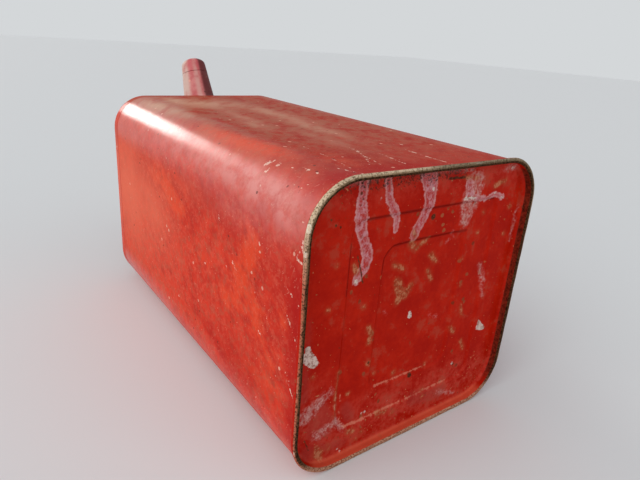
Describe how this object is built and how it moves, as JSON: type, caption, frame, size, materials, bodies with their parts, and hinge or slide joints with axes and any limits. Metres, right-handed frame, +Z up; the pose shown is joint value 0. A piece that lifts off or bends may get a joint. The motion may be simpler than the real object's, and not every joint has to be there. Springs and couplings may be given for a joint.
{
  "type": "fuel can",
  "caption": "Square sheet-steel fuel can with rounded corners, seamed bottom, leaning conical spout with press-in cap, screw filler cap and a folding bail with a turned grip.",
  "frame": {"origin": "middle of the underside of the whole part, as it lies on one of its sides, on the plane of the seam's lowest edge", "axes": "+X from the seamed bottom to the top with the filler, +Y to the left of someone who looks at the bottom, +Z up, towards the side that the spout leans over"},
  "size_m": [0.2894, 0.1476, 0.1733],
  "materials": {
    "body_paint": "faded red gloss paint, scratched and dusty",
    "bottom_paint": "deep red gloss paint with drips, chips and rust specks, bare along the seam",
    "top_paint": "faded red gloss paint",
    "spout_paint": "faded red paint",
    "cap_paint": "worn red paint, bare on its ribs",
    "aged_steel": "dull aged steel with light rust",
    "solder": "dull grey solder, partly painted",
    "gasket_rubber": "matt black",
    "seam_compound": "matt dark brown",
    "cork": "matt cork",
    "grip_wood": "worn varnished turned wood"
  },
  "bodies": {
    "can": {"body_shell": "body_paint", "bottom_panel": "bottom_paint", "seam_compound": "seam_compound", "top_panel": "top_paint", "top_joint_solder": "top_paint", "filler_neck": "aged_steel", "neck_solder": "solder", "spout_tube": "spout_paint", "spout_root_solder": "solder", "bail_ear_left": "aged_steel", "bail_ear_right": "aged_steel", "ear_rivet_1": "aged_steel", "ear_rivet_2": "aged_steel", "ear_rivet_3": "aged_steel", "ear_rivet_4": "aged_steel"},
    "gasket": {"cap_gasket": "gasket_rubber"},
    "filler_cap": {"filler_cap": "cap_paint"},
    "spout_cap": {"spout_cap": "spout_paint", "spout_cap_cork": "cork"},
    "bail": {"bail_wire": "aged_steel"},
    "grip": {"bail_grip": "grip_wood"}
  },
  "joints": [
    {"name": "bail_fold", "type": "hinge", "parent": "can", "child": "bail", "pos_m": [0.13003, 0, 0.07385], "axis": [0, -1, 0], "range_deg": [0, 165]},
    {"name": "grip_spin", "type": "hinge", "parent": "bail", "child": "grip", "pos_m": [0.13003, 0, 0.01085], "axis": [0, 1, 0], "continuous": true},
    {"name": "cap_lift", "type": "slide", "parent": "can", "child": "gasket", "axis": [1, 0, 0], "range_m": [0, 0.0101]},
    {"name": "cap_turn", "type": "hinge", "parent": "gasket", "child": "filler_cap", "pos_m": [0.12218, 0, 0.04485], "axis": [1, 0, 0], "range_deg": [0, 900]},
    {"name": "spout_cap_pull", "type": "slide", "parent": "can", "child": "spout_cap", "axis": [0.4067, 0, 0.9135], "range_m": [0, 0.02]}
  ],
  "couplings": [
    {"joint": "cap_lift", "follows": "cap_turn", "m_per_rad": 0.00063662}
  ]
}
